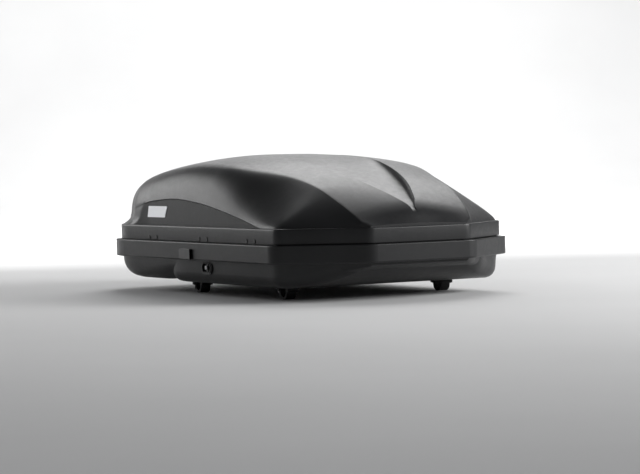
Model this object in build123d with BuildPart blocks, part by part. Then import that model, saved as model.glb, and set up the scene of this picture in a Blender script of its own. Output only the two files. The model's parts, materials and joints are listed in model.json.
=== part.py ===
from build123d import *

import math
import os

os.makedirs("parts", exist_ok=True)

# ------------------------------------------------------------------------------
# Roof cargo box.  Millimetres.  X runs across the box, Y runs along it with the
# nose at -Y, Z is up.  The origin is under the middle of the box, level with the
# undersides of the clamp claws.
# ------------------------------------------------------------------------------

# Overall form
LENGTH = 1400
WIDTH = 840
NOSE_HALF = 181  # half width of the flat nose, at the rim band
SHOULDER_Y = -528  # where the slanted corner facets meet the long sides
NOSE_RADIUS = 60
SHOULDER_SOFTNESS = 24  # rounding of the shoulders in the lofted sections
TAIL_RADIUS = 235
SKIN = 4  # wall of both mouldings

# Levels
DEEP_FLOOR = 40  # underside of the part that sits on the crossbars
SHALLOW_FLOOR = 70  # underside of the tub above the tray
REAR_FLOOR = 42  # underside of the tub behind the tray
BAND_BOTTOM = 115
BAND_TOP = 166
LEDGE_TOP = 170  # top of the rim frame that closes the band
BELT_BOTTOM = 172.5
BELT_TOP = 219

# Insets of the plan outline from the rim band's outer face
TRAY_INSET = 22
BELT_INSET = 18
UPPER_INSET = 24
TAIL_SETBACK = 20  # the lid's tail wall stands this much further in than its sides
UPSTAND_INSET = 27
FRAME_INNER_INSET = 54
WALL_DRAFT = 0.1
TRAY_ROUNDING = 34  # along the tray's floor edges
TUB_ROUNDING = 56  # along the tub's floor edges
BAND_ROUNDING = 5  # along the band's lower edge
LEDGE_ROUNDING = 3  # along the ledge's outer edge

# Clamps, one at each corner of this pattern, gripping round bars
CLAMP_X = 278
CLAMP_FRONT_Y = -365
CLAMP_REAR_Y = 186
BAR_RADIUS = 15
BAR_Z = 22.5

# Latch side, at -X
LATCH_YS = (-363, -58, 286)
RIVET_SPACING = 50
LOCK_Y = -69
LOCK_Z = 92

# Hinge side, at +X
HINGE_X = 409
HINGE_Z = 176
HINGE_YS = (-370, 0, 370)

# Lid lifters, one near each end
LIFTER_YS = (-600, 640)
LIFTER_BASE = (215, 122)  # lower pivot, across and up
LIFTER_LID = (262, 206)  # pivot on the lid


def along(stations, y):
    """Value at y on a smooth curve through (y, value) stations, without overshoot."""
    if y <= stations[0][0]:
        return stations[0][1]
    if y >= stations[-1][0]:
        return stations[-1][1]
    spans = list(zip(stations, stations[1:]))
    slopes = [(b[1] - a[1]) / (b[0] - a[0]) for a, b in spans]

    def slope_at(index):
        before = slopes[max(index - 1, 0)]
        after = slopes[min(index, len(slopes) - 1)]
        return 0 if before * after <= 0 else 2 * before * after / (before + after)

    index = next(i for i, span in enumerate(spans) if y <= span[1][0])
    (y0, v0), (y1, v1) = spans[index]
    run = y1 - y0
    t = (y - y0) / run
    rise = slope_at(index) * t * (1 - t) ** 2 - slope_at(index + 1) * t * t * (1 - t)
    return v0 * (1 + 2 * t) * (1 - t) ** 2 + v1 * t * t * (3 - 2 * t) + run * rise


def rounded_end(y, half, end, radius):
    """Half width at y of a shape whose end corners are rounded."""
    past = max(y - (end - radius), 0)
    return half - radius + math.sqrt(max(radius**2 - past**2, 0))


def half_width(y, inset, setback=0):
    """Half the width of the plan outline at y, drawn in by the inset."""
    side = WIDTH / 2 - inset
    flare = (WIDTH / 2 - NOSE_HALF) / (SHOULDER_Y + LENGTH / 2)
    facet = NOSE_HALF + flare * (y + LENGTH / 2) - inset * math.hypot(1, flare)
    front = (side + facet - math.hypot(side - facet, SHOULDER_SOFTNESS)) / 2
    end = LENGTH / 2 - setback - inset
    return min(front, rounded_end(y, side, end, TAIL_RADIUS - inset))


def plan(inset, height, setback=0):
    """Face of the plan outline at a height, drawn in by the inset."""
    half, nose, tail = WIDTH / 2, -LENGTH / 2, LENGTH / 2 - setback
    right = [(NOSE_HALF, nose), (half, SHOULDER_Y), (half, tail)]
    left = [(-x, y) for x, y in reversed(right)]
    with BuildSketch(Plane.XY.offset(height)) as sketch:
        with BuildLine():
            Polyline(*right, *left, close=True)
        make_face()
        rows = sketch.vertices().group_by(Axis.Y)
        fillet(rows[0] + rows[1], NOSE_RADIUS)
        fillet(sketch.vertices().group_by(Axis.Y)[-1], TAIL_RADIUS)
        if inset:
            offset(amount=-inset)
    return sketch.sketch


def ring(outer_inset, inner_inset, bottom, top):
    """A closed wall that follows the plan outline between two insets."""
    with BuildPart() as wall:
        extrude(plan(outer_inset, bottom), amount=top - bottom)
        extrude(plan(inner_inset, bottom), amount=top - bottom, mode=Mode.SUBTRACT)
    return wall.part


# ------------------------------------------------------------------------------
# Lid surface: a crease on each side runs from the nose corners up to the roof's
# edges, the roof is crowned between the creases, and a scoop is sunk in its middle
# ------------------------------------------------------------------------------
CREASE_X = [(-682, 186), (-622, 204), (-523, 223), (-398, 237), (-300, 262), (-200, 290)]
CREASE_X += [(-60, 312), (150, 316), (350, 300), (500, 272), (600, 232), (656, 190)]
CREASE_Z = [(-682, 219), (-622, 263), (-523, 316), (-475, 336), (-398, 358), (-300, 379)]
CREASE_Z += [(-200, 393), (-60, 406), (80, 411), (291, 400), (454, 380), (560, 360)]
CREASE_Z += [(620, 335), (645, 300), (656, 262)]
CROWN_Z = [(-682, 220), (-647, 275), (-603, 303), (-495, 350), (-418, 377), (-317, 403)]
CROWN_Z += [(-222, 421), (-100, 433), (20, 438), (200, 438), (350, 430), (500, 409)]
CROWN_Z += [(580, 390), (625, 360), (645, 325), (656, 272)]
SCOOP_X = [(-682, 8), (-650, 8), (-603, 31), (-495, 75), (-418, 95), (-317, 116)]
SCOOP_X += [(-222, 131), (-60, 150), (500, 150), (656, 100)]
SCOOP_DEPTH = [(-655, 0), (-630, 10), (-560, 24), (-450, 30), (-317, 24), (-222, 15)]
SCOOP_DEPTH += [(-60, 4), (60, 0)]
FLANK_FULLNESS = [(-682, 0.1), (-480, 0.14), (-350, 0.24), (-150, 0.6), (200, 0.75), (520, 0.85)]
FLANK_RISE = [(-682, 0.12), (-480, 0.18), (-350, 0.28), (-150, 0.42), (656, 0.5)]
PANEL_TOP = [(-412, 222), (-300, 243), (-150, 272), (0, 294), (158, 305), (300, 298)]
PANEL_TOP += [(400, 272), (470, 225)]
PANEL_DEPTH = 10
CROWN_POWER = 1.9
LID_STATIONS = (-680, -650, -615, -575, -535, -495, -450, -390, -310, -210, -90, 60)
LID_STATIONS += (220, 360, 470, 540, 590, 625, 645, 655)


def crown(x, y):
    """Height of the roof between the creases, before the scoop is sunk into it."""
    middle = along(CROWN_Z, y)
    drop = middle - along(CREASE_Z, y)
    return middle - drop * min(abs(x) / along(CREASE_X, y), 1) ** CROWN_POWER


def lid_profile(y, skin):
    """Cross-section of the lid above the belt, drawn in by the skin."""
    foot_x = half_width(y, UPPER_INSET + skin, TAIL_SETBACK)
    foot_z = BELT_TOP - 25
    shoulder = (foot_x, BELT_TOP + 1 - skin)
    crease = (min(along(CREASE_X, y), foot_x + skin - 2) - skin, along(CREASE_Z, y) - skin)
    rise = crease[1] - shoulder[1]
    pull = along(FLANK_FULLNESS, y) * (foot_x - crease[0])
    scoop_x, depth = along(SCOOP_X, y), along(SCOOP_DEPTH, y)
    edge = (scoop_x, crown(scoop_x, y) - skin)
    floor_z = crown(0, y) - depth - skin
    with BuildSketch(Plane.XZ.offset(-y)) as section:
        with BuildLine():
            Line((0, foot_z), (foot_x, foot_z))
            Line((foot_x, foot_z), shoulder)
            Bezier(
                shoulder,
                (foot_x + 1, shoulder[1] + along(FLANK_RISE, y) * rise),
                (crease[0] + pull, crease[1] - 0.1 * rise),
                crease,
            )
            middle_x = (crease[0] + scoop_x) / 2
            Spline(crease, (middle_x, crown(middle_x, y) - skin), edge)
            Bezier(edge, (0.7 * scoop_x, edge[1] - depth), (0.4 * scoop_x, floor_z), (0, floor_z))
            mirror(about=Plane.YZ)
        make_face()
    return section.sketch


def panel_outline(margin):
    """Lens-shaped side panel, in the YZ plane, grown by the margin."""
    low = BELT_TOP + 1 - margin
    nose, tail = (PANEL_TOP[0][0] - 6 * margin, low), (PANEL_TOP[-1][0] + 2 * margin, low)
    crest = [(y, z + 1.3 * margin) for y, z in PANEL_TOP[1:-1]]
    with BuildSketch(Plane.YZ) as lens:
        with BuildLine():
            Line(nose, tail)
            Spline(tail, *reversed(crest), nose)
        make_face()
    return lens.sketch


def lid_body(skin):
    """Solid inside the lid's outer surface drawn in by the skin."""
    with BuildPart() as body:
        shrink = 1 - skin / (LENGTH / 2)
        loft([lid_profile(y * shrink, skin) for y in LID_STATIONS])
        panel_x = half_width(0, UPPER_INSET + skin) - PANEL_DEPTH
        for side in (-1, 1):
            panel = Location((side * (panel_x + 50), 0, 0)) * panel_outline(1.2 * skin)
            extrude(panel, amount=50, both=True, mode=Mode.SUBTRACT)
        extrude(plan(BELT_INSET + skin, BELT_BOTTOM - skin), amount=BELT_TOP - BELT_BOTTOM)
    return body.part


# ------------------------------------------------------------------------------
# Base moulding: a shallow tub over the whole length, a deeper tray where the box
# sits on the crossbars, and the rim band around both
# ------------------------------------------------------------------------------
TUB_TOP = 120
TUB_FLOOR = [(-680, 108), (-640, 92), (-560, 74), (-500, SHALLOW_FLOOR), (60, SHALLOW_FLOOR)]
TUB_FLOOR += [(200, 52), (300, REAR_FLOOR), (480, REAR_FLOOR), (560, 52), (620, 74), (680, 106)]
TUB_STATIONS = (-676, -645, -610, -575, -540, -505, -465, -400, -150, 60, 130, 200, 260)
TUB_STATIONS += (330, 400, 465, 520, 570, 610, 640, 662, 676)
TRAY_FLOOR = [(-650, 100), (-600, 66), (-545, 48), (-480, DEEP_FLOOR), (260, DEEP_FLOOR)]
TRAY_STATIONS = (-650, -620, -590, -560, -530, -500, -460, -400, -200, 0, 132, 170, 205)
TRAY_STATIONS += (232, 250, 260)
TRAY_END = 262
TRAY_RADIUS = 130


def tray_half(y, inset):
    """Half the width of the deep tray at y."""
    end = rounded_end(y, WIDTH / 2 - inset, TRAY_END + TRAY_INSET - inset, TRAY_RADIUS)
    return min(half_width(y, inset), end)


def tub_profile(y, half, floor, rounding):
    """Cross-section of a tub with drafted walls and rounded floor edges."""
    depth = TUB_TOP - floor
    round_off = min(rounding, 0.8 * depth)
    foot = half - WALL_DRAFT * depth
    with BuildSketch(Plane.XZ.offset(-y)) as section:
        with BuildLine():
            Line((0, TUB_TOP), (half, TUB_TOP))
            turn = Line((half, TUB_TOP), (foot + WALL_DRAFT * round_off, floor + round_off)) @ 1
            Bezier(turn, (foot, floor + 0.1 * round_off), (foot - round_off, floor))
            Line((foot - round_off, floor), (0, floor))
            mirror(about=Plane.YZ)
        make_face()
    return section.sketch


def band_body(skin):
    """Solid inside the rim band's outer surface drawn in by the skin."""
    with BuildPart() as band:
        extrude(plan(skin, BAND_BOTTOM + skin), amount=BAND_TOP - BAND_BOTTOM)
        fillet(band.edges().group_by(Axis.Z)[0], BAND_ROUNDING - skin)
    return band.part


def base_body(skin):
    """Solid inside the base's outer surface drawn in by the skin."""
    shrink = 1 - skin / (LENGTH / 2)
    tub, tray = [], []
    for y in TUB_STATIONS:
        half = half_width(y * shrink, TRAY_INSET + skin)
        tub.append(tub_profile(y * shrink, half, along(TUB_FLOOR, y) + skin, TUB_ROUNDING))
    for y in TRAY_STATIONS:
        station = y - skin if y > 0 else y * shrink
        half = tray_half(station, TRAY_INSET + skin)
        tray.append(tub_profile(station, half, along(TRAY_FLOOR, y) + skin, TRAY_ROUNDING))
    with BuildPart() as body:
        loft(tub)
        loft(tray)
        add(band_body(skin))
    return body.part


def block(x, y, z, mode=Mode.ADD):
    """A box between three pairs of limits."""
    with Locations(tuple(sum(pair) / 2 for pair in (x, y, z))):
        Box(x[1] - x[0], y[1] - y[0], z[1] - z[0], mode=mode)


def rod(start, end, radius, mode=Mode.ADD):
    """A round bar from one point to another."""
    with BuildSketch(Plane(start, z_dir=Vector(end) - Vector(start))) as disc:
        Circle(radius)
    extrude(disc.sketch, amount=(Vector(end) - Vector(start)).length, mode=mode)


def save(builder, name):
    """Label a finished piece and write it out."""
    builder.part.label = name
    export_step(builder.part, f"parts/{name}.step")


# Clamp slots: the front carriages move both ways, the rear ones only forward
NECK_HALF_LENGTH = 15
NECK_WIDTH = 12
CLAMPS = {
    "front_left": (-CLAMP_X, CLAMP_FRONT_Y, -50, 50),
    "front_right": (CLAMP_X, CLAMP_FRONT_Y, -50, 50),
    "rear_left": (-CLAMP_X, CLAMP_REAR_Y, -90, 0),
    "rear_right": (CLAMP_X, CLAMP_REAR_Y, -90, 0),
}


def clamp_slots(bottom, height):
    """Cut the slots that the clamp necks slide along."""
    for x, y, back, forth in CLAMPS.values():
        middle = y + (back + forth) / 2
        length = forth - back + 2 * NECK_HALF_LENGTH + NECK_WIDTH
        with BuildSketch(Plane((x, middle, bottom))) as slot:
            SlotOverall(length, NECK_WIDTH + 0.6, rotation=90)
        extrude(slot.sketch, amount=height, mode=Mode.SUBTRACT)


# Finger grip: a hood that rises out of the band towards the nose and is open there
GRIP_Y = (-14, 73)
GRIP_Z = (117, 150)
GRIP_RISE = 8  # how far the hood's open end stands off the band
GRIP_WALL = 2.4
GRIP_REACH = 12  # how far fingers reach in behind the band's face
GRIP_BACK_Y = 26  # inner end of the pocket under the hood


def grip_wedge(corners, z, mode=Mode.ADD):
    """A plan outline of (outward from the band, y) corners, on both long sides."""
    for side in (-1, 1):
        with BuildSketch(Plane.XY.offset(z[0])) as outline:
            with BuildLine():
                Polyline(*[(side * (WIDTH / 2 + out), y) for out, y in corners], close=True)
            make_face()
        extrude(outline.sketch, amount=z[1] - z[0], mode=mode)


def grip_hoods():
    """The hood on each side, its long edges broken."""
    with BuildPart() as hoods:
        front, back = GRIP_Y
        grip_wedge([(-3, front), (GRIP_RISE, front), (0, back), (-3, back)], GRIP_Z)
        slanted = hoods.edges().filter_by(lambda edge: 80 < edge.length < 90)
        outer = slanted.filter_by(lambda edge: abs(edge.tangent_at(0).X) > 0.02)
        chamfer(outer, 1.6)
    return hoods.part


LOCK_FACE_X = -397.6  # a flat pad on the drafted wall carries the lock
BEZEL = (62, 33)
RECESS = (50, 25)
PLATE_X = -384  # inner face of the lock housing's back plate


def stadium(size, x, depth, mode=Mode.ADD):
    """A slot-shaped block around the lock, from x inwards."""
    with BuildSketch(Plane((x, LOCK_Y, LOCK_Z), x_dir=(0, 1, 0), z_dir=(1, 0, 0))) as face:
        SlotOverall(*size)
    extrude(face.sketch, amount=depth, mode=mode)


with BuildPart() as base_shell:
    add(base_body(0))
    add(base_body(SKIN), mode=Mode.SUBTRACT)
    front, back = GRIP_Y
    inner, outer, low, high = -GRIP_REACH - 4, -1, front - 4, GRIP_BACK_Y + 4
    backing = [(inner, low), (outer, low), (outer, high), (inner, high)]
    grip_wedge(backing, (GRIP_Z[0] - 1, GRIP_Z[1] + 2))
    add(grip_hoods())
    pocket = [(-GRIP_REACH, front), (0, front), (0, front - 1)]
    pocket += [(GRIP_RISE - GRIP_WALL, front - 1)]
    pocket += [(GRIP_RISE * (back - GRIP_BACK_Y) / (back - front) - GRIP_WALL, GRIP_BACK_Y)]
    pocket += [(-GRIP_REACH, GRIP_BACK_Y)]
    grip_wedge(pocket, (GRIP_Z[0] + GRIP_WALL, GRIP_Z[1] - GRIP_WALL), Mode.SUBTRACT)
    clamp_slots(DEEP_FLOOR - 1, SKIN + 2)
    stadium((BEZEL[0] + 8, BEZEL[1] + 8), LOCK_FACE_X, 7)
    stadium((RECESS[0] + 4, RECESS[1] + 4), LOCK_FACE_X - 5, 16, mode=Mode.SUBTRACT)
save(base_shell, "base_shell")

# Rim frame: a ledge that closes the band, with a standing lip inside the lid's belt
POST_SLOT = (-29, -1.5)  # opening for a lock hook, along Y from each keeper pin
HOOK_X = (-382, -376)
with BuildPart() as rim_frame:
    add(ring(0, FRAME_INNER_INSET, BAND_TOP, LEDGE_TOP))
    fillet(rim_frame.faces().sort_by(Axis.Z)[-1].outer_wire().edges(), LEDGE_ROUNDING)
    add(ring(UPSTAND_INSET, UPSTAND_INSET + 4, LEDGE_TOP, 186))
    for y in LATCH_YS:
        slot_y = (y + POST_SLOT[0], y + POST_SLOT[1])
        block((HOOK_X[0] - 2, HOOK_X[1] + 2), slot_y, (BAND_TOP - 1, LEDGE_TOP + 1), Mode.SUBTRACT)
save(rim_frame, "rim_frame")

with BuildPart() as rim_seal:
    add(ring(UPSTAND_INSET - 1.2, UPSTAND_INSET + 5.2, 180, 190))
    add(ring(UPSTAND_INSET, UPSTAND_INSET + 4, 180, 186), mode=Mode.SUBTRACT)
save(rim_seal, "rim_seal")

# Floor rails under the clamps, bolted through the tray floor
FLOOR_TOP = DEEP_FLOOR + SKIN + 0.3  # the rails lie just clear of the moulded floor
RAIL_TOP = FLOOR_TOP + 2.5
RAIL_Y = (-470, 225)
RAIL_HALF_WIDTH = 28
BOLT_YS = (-460, -265, -110, 45)
for side, name in ((-1, "floor_rail_left"), (1, "floor_rail_right")):
    with BuildPart() as floor_rail:
        middle = side * CLAMP_X
        edges = (middle - RAIL_HALF_WIDTH, middle + RAIL_HALF_WIDTH)
        block(edges, RAIL_Y, (FLOOR_TOP, RAIL_TOP))
        for edge, inward in ((edges[0], 2), (edges[1], -2)):
            block(sorted((edge, edge + inward)), RAIL_Y, (RAIL_TOP, RAIL_TOP + 5))
        clamp_slots(FLOOR_TOP - 1, SKIN)
    save(floor_rail, name)

RAIL_BOLTS = [(side * CLAMP_X + dx, y) for side in (-1, 1) for y in BOLT_YS for dx in (-19, 19)]
with BuildPart() as rail_bolts:
    for x, y in RAIL_BOLTS:
        rod((x, y, RAIL_TOP), (x, y, RAIL_TOP + 2.6), 4.5)
    chamfer(rail_bolts.edges().group_by(Axis.Z)[-1], 0.8)
save(rail_bolts, "rail_bolts")

FRAME_SCREW_INSET = 44
SCREW_YS = (-440, -240, -150, 60, 170, 400)
FRAME_SCREWS = [(side * (WIDTH / 2 - FRAME_SCREW_INSET), y) for side in (-1, 1) for y in SCREW_YS]
FRAME_SCREWS += [(x, y) for y in (-656, 656) for x in (-120, 0, 120)]
with BuildPart() as frame_screws:
    for x, y in FRAME_SCREWS:
        rod((x, y, LEDGE_TOP), (x, y, LEDGE_TOP + 2.2), 4)
        rod((x, y, LEDGE_TOP + 1), (x, y, LEDGE_TOP + 3), 1.8, Mode.SUBTRACT)
save(frame_screws, "frame_screws")

# ------------------------------------------------------------------------------
# Lock: a knob turns a crank, the crank's pin drives a bar along Y, and the bar's
# hooks slide over the keeper pins on the lid.  At rest the lock is open.
# ------------------------------------------------------------------------------
CRANK = 10
CRANK_START = math.radians(-45)
PIN_Y = LOCK_Y + CRANK * math.sin(CRANK_START)
PIN_Z = LOCK_Z + CRANK * math.cos(CRANK_START)
PIN_RADIUS = 2.5
BAR_X = (-383, -375)
LOCK_BAR_Z = (148, 158)
LOCK_BAR_Y = (-400, 330)
STIFFENER_X = (-391, -388)
GUIDE_YS = (-300, -150, 60, 190)
KEEPER_PIN_Z = 181
NOSE_Z = (184, 190)

with BuildPart() as latch_stiffener:
    block(STIFFENER_X, (-430, 352), (124, BAND_TOP))
    block((STIFFENER_X[1], STIFFENER_X[1] + 4), (-430, 352), (124, 127))
    with Locations([(STIFFENER_X[0] + 1.5, y, 136) for y in range(-390, 350, 60)]):
        Cylinder(5, 8, rotation=(0, 90, 0), mode=Mode.SUBTRACT)
save(latch_stiffener, "latch_stiffener")

with BuildPart() as bar_guides:
    for y in GUIDE_YS:
        block((STIFFENER_X[1], BAR_X[1] + 4.4), (y - 12, y + 12), (LOCK_BAR_Z[0] - 4.4, 162.4))
        slot_x = (BAR_X[0] - 0.4, BAR_X[1] + 0.4)
        slot_z = (LOCK_BAR_Z[0] - 0.4, LOCK_BAR_Z[1] + 0.4)
        block(slot_x, (y - 13, y + 13), slot_z, Mode.SUBTRACT)
save(bar_guides, "bar_guides")

with BuildPart() as lock_housing:
    stadium((RECESS[0] + 3.6, RECESS[1] + 3.6), LOCK_FACE_X, PLATE_X - LOCK_FACE_X)
    stadium(RECESS, LOCK_FACE_X - 1, PLATE_X - 2 - LOCK_FACE_X + 1, Mode.SUBTRACT)
    rod((PLATE_X - 3, LOCK_Y, LOCK_Z), (PLATE_X + 1, LOCK_Y, LOCK_Z), 5.06, Mode.SUBTRACT)
save(lock_housing, "lock_housing")

with BuildPart() as lock_bezel:
    stadium(BEZEL, LOCK_FACE_X - 2.2, 2.2)
    stadium((RECESS[0] + 1, RECESS[1] + 1), LOCK_FACE_X - 3, 4, Mode.SUBTRACT)
    chamfer(lock_bezel.edges().group_by(Axis.X)[0], 0.8)
save(lock_bezel, "lock_bezel")

with BuildPart() as lock_cover:
    block((-388, -368), (LOCK_Y - 34, LOCK_Y + 34), (75.5, 123))
    block((-392, -369.5), (LOCK_Y - 32.5, LOCK_Y + 32.5), (77.3, 124), Mode.SUBTRACT)
    fillet(lock_cover.edges().filter_by(Axis.Y).sort_by(Axis.X)[-1], 1.2)
save(lock_cover, "lock_cover")

KNOB_X = (LOCK_FACE_X - 2, PLATE_X - 2.3)
with BuildPart() as lock_knob:
    rod((KNOB_X[0] + 4, LOCK_Y, LOCK_Z), (KNOB_X[1], LOCK_Y, LOCK_Z), 11.5)
    block((KNOB_X[0], KNOB_X[0] + 5), (LOCK_Y - 9.2, LOCK_Y + 9.2), (LOCK_Z - 6.8, LOCK_Z + 6.8))
    rod((KNOB_X[1], LOCK_Y, LOCK_Z), (PLATE_X + 0.5, LOCK_Y, LOCK_Z), 5)
    rod((KNOB_X[0] - 1, LOCK_Y, LOCK_Z), (KNOB_X[0] + 9, LOCK_Y, LOCK_Z), 5.56, Mode.SUBTRACT)
save(lock_knob, "lock_knob")

with BuildPart() as lock_cylinder:
    rod((KNOB_X[0] - 0.4, LOCK_Y, LOCK_Z), (KNOB_X[0] + 8.9, LOCK_Y, LOCK_Z), 5.5)
    block((KNOB_X[0] - 1, KNOB_X[0] + 5), (LOCK_Y - 3.4, LOCK_Y + 3.4), (91.2, 92.8), Mode.SUBTRACT)
save(lock_cylinder, "lock_cylinder")

with BuildPart() as lock_crank:
    rod((PLATE_X + 0.5, LOCK_Y, LOCK_Z), (PLATE_X + 3, LOCK_Y, LOCK_Z), 7)
    rod((PLATE_X + 0.5, PIN_Y, PIN_Z), (PLATE_X + 3, PIN_Y, PIN_Z), 5)
    rod((PLATE_X + 3, PIN_Y, PIN_Z), (PLATE_X + 9, PIN_Y, PIN_Z), PIN_RADIUS)
save(lock_crank, "lock_crank")

with BuildPart() as lock_bar:
    block(BAR_X, LOCK_BAR_Y, LOCK_BAR_Z)
    arm_x = (PLATE_X + 4, PLATE_X + 7)
    block(arm_x, (PIN_Y - 9, PIN_Y + 9), (90, LOCK_BAR_Z[0] + 1))
    slot_half = PIN_RADIUS + 0.6
    slot_z = (PIN_Z - slot_half, LOCK_Z + CRANK + slot_half)
    block((arm_x[0] - 1, arm_x[1] + 1), (PIN_Y - slot_half, PIN_Y + slot_half), slot_z, Mode.SUBTRACT)
save(lock_bar, "lock_bar")

with BuildPart() as lock_hooks:
    for y in LATCH_YS:
        block(HOOK_X, (y - 27, y - 17.2), (LOCK_BAR_Z[1], NOSE_Z[1]))
        block(HOOK_X, (y - 18, y - 5), NOSE_Z)
        block(HOOK_X, (y - 33, y - 11), (LOCK_BAR_Z[1], LOCK_BAR_Z[1] + 4))
    chamfer(lock_hooks.edges().filter_by(Axis.X).group_by(Axis.Z)[-1], 1.5)
save(lock_hooks, "lock_hooks")

# Keepers: a plate on the belt's inner face carries two ears and a pin over the lip
BELT_FACE = WIDTH / 2 - BELT_INSET
BELT_INNER = BELT_FACE - SKIN
RIVET_Z = 180
with BuildPart() as keepers:
    for y in LATCH_YS:
        block((-BELT_INNER, -BELT_INNER + 2.5), (y - 34, y + 34), (175, 205))
        block((-BELT_INNER, -371), (y - 9, y + 9), (192, 195))
        for x in (-387, -373.5):
            block((x, x + 2.5), (y - 6, y + 6), (177, 193))
        rod((-387, y, KEEPER_PIN_Z), (-371, y, KEEPER_PIN_Z), PIN_RADIUS)
        for dy in (-RIVET_SPACING / 2, RIVET_SPACING / 2):
            rod((-BELT_FACE, y + dy, RIVET_Z), (-390, y + dy, RIVET_Z), 2.6, Mode.SUBTRACT)
save(keepers, "keepers")

# ------------------------------------------------------------------------------
# Hinges: three knuckle hinges on the ledge at +X
# ------------------------------------------------------------------------------
KNUCKLE_RADIUS = 4.5
HINGE_PIN_RADIUS = 2
with BuildPart() as hinge_base_leaves:
    for y in HINGE_YS:
        block((404.3, 416.5), (y - 32, y + 32), (LEDGE_TOP, LEDGE_TOP + 1.2))
        for end in (-1, 1):
            inner, outer = sorted((y + end * 12, y + end * 32))
            rod((HINGE_X, inner, HINGE_Z), (HINGE_X, outer, HINGE_Z), KNUCKLE_RADIUS)
            block((HINGE_X, HINGE_X + 4.5), (inner, outer), (LEDGE_TOP, HINGE_Z))
        rod((HINGE_X, y - 33, HINGE_Z), (HINGE_X, y + 33, HINGE_Z), HINGE_PIN_RADIUS, Mode.SUBTRACT)
save(hinge_base_leaves, "hinge_base_leaves")

with BuildPart() as hinge_pins:
    for y in HINGE_YS:
        rod((HINGE_X, y - 33, HINGE_Z), (HINGE_X, y + 33, HINGE_Z), HINGE_PIN_RADIUS)
save(hinge_pins, "hinge_pins")

LEAF_RIVET_Z = 198
with BuildPart() as hinge_lid_leaves:
    for y in HINGE_YS:
        block((BELT_FACE, BELT_FACE + 2), (y - 32, y + 32), (HINGE_Z + 6, HINGE_Z + 32))
        block((BELT_FACE, HINGE_X), (y - 11.6, y + 11.6), (HINGE_Z, HINGE_Z + KNUCKLE_RADIUS))
        block((BELT_FACE, BELT_FACE + 2), (y - 11.6, y + 11.6), (HINGE_Z, HINGE_Z + 8))
        rod((HINGE_X, y - 11.6, HINGE_Z), (HINGE_X, y + 11.6, HINGE_Z), KNUCKLE_RADIUS)
        bore = HINGE_PIN_RADIUS + 0.05
        rod((HINGE_X, y - 12, HINGE_Z), (HINGE_X, y + 12, HINGE_Z), bore, Mode.SUBTRACT)
        for dy in (-RIVET_SPACING / 2, RIVET_SPACING / 2):
            start = (BELT_FACE - 1, y + dy, LEAF_RIVET_Z)
            rod(start, (BELT_FACE + 3, y + dy, LEAF_RIVET_Z), 2.6, Mode.SUBTRACT)
save(hinge_lid_leaves, "hinge_lid_leaves")

# Rivets of the keepers (-X) and of the hinge leaves (+X): outer head, shank, inner head
KEEPER_RIVETS = [y + dy for y in LATCH_YS for dy in (-RIVET_SPACING / 2, RIVET_SPACING / 2)]
HINGE_RIVETS = [y + dy for y in HINGE_YS for dy in (-RIVET_SPACING / 2, RIVET_SPACING / 2)]
RIVET_HEAD_RADIUS = 7
with BuildPart() as lid_rivets:
    for y in KEEPER_RIVETS:
        rod((-BELT_FACE - 1.8, y, RIVET_Z), (-BELT_FACE, y, RIVET_Z), RIVET_HEAD_RADIUS)
        rod((-BELT_FACE, y, RIVET_Z), (-BELT_INNER + 2.5, y, RIVET_Z), 2.5)
    for y in HINGE_RIVETS:
        rod((BELT_FACE + 3.8, y, LEAF_RIVET_Z), (BELT_FACE + 2, y, LEAF_RIVET_Z), RIVET_HEAD_RADIUS)
        rod((BELT_FACE + 2, y, LEAF_RIVET_Z), (BELT_INNER, y, LEAF_RIVET_Z), 2.5)
    by_x = lid_rivets.edges().group_by(Axis.X)
    chamfer(by_x[0] + by_x[-1], 1)
save(lid_rivets, "lid_rivets")

lid_inside = lid_body(SKIN)
with BuildPart() as lid_shell:
    add(lid_body(0))
    add(lid_inside, mode=Mode.SUBTRACT)
    for y in KEEPER_RIVETS:
        rod((-BELT_FACE - 1, y, RIVET_Z), (-BELT_INNER + 1, y, RIVET_Z), 2.6, Mode.SUBTRACT)
    for y in HINGE_RIVETS:
        rod((BELT_INNER - 1, y, LEAF_RIVET_Z), (BELT_FACE + 1, y, LEAF_RIVET_Z), 2.6, Mode.SUBTRACT)
save(lid_shell, "lid_shell")

# Blank badge on the left side panel, a leaning four-sided plate
BADGE_CORNERS = ((350, 244), (340, 280), (209, 280), (228, 244))
PANEL_FACE = half_width(0, UPPER_INSET) - PANEL_DEPTH
with BuildPart() as badge_plate:
    with BuildSketch(Plane.YZ.offset(-PANEL_FACE - 1.4)) as badge_face:
        with BuildLine():
            Polyline(*BADGE_CORNERS, close=True)
        make_face()
        fillet(badge_face.vertices(), 2.5)
    extrude(amount=1.4)
save(badge_plate, "badge_plate")

# Stiffening bows under the roof, glued between the sides
BOW_YS = (-120, 240)
BOW_DEPTH = 8


def roof_bow(y):
    """A rib across the lid, following the inside of the roof."""
    with BuildPart() as rib:
        block((-330, 330), (y - 14, y + 14), (300, 445))
        add(Location((0, 0, -0.3)) * lid_inside, mode=Mode.INTERSECT)
        add(Location((0, 0, -BOW_DEPTH)) * lid_inside, mode=Mode.SUBTRACT)
    return rib.part


with BuildPart() as lid_bows:
    for y in BOW_YS:
        add(roof_bow(y))
save(lid_bows, "lid_bows")

# ------------------------------------------------------------------------------
# Lid lifters: a lower arm parallel to the line from hinge to lid pivot, and an
# upper arm parallel to the line from hinge to base pivot
# ------------------------------------------------------------------------------
ARM_THICKNESS = 3
ARM_HALF_WIDTH = 8
PIVOT_RADIUS = 4
ELBOW_X = LIFTER_BASE[0] + LIFTER_LID[0] - HINGE_X
LIFTER_ELBOW = (ELBOW_X, LIFTER_BASE[1] + LIFTER_LID[1] - HINGE_Z)
LOWER_Y = (-1.5, 1.5)
UPPER_Y = (-4.9, -1.9)
BASE_BRACKET_Y = (1.9, 4.9)
LID_BRACKET_Y = (-8.3, -5.3)


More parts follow.
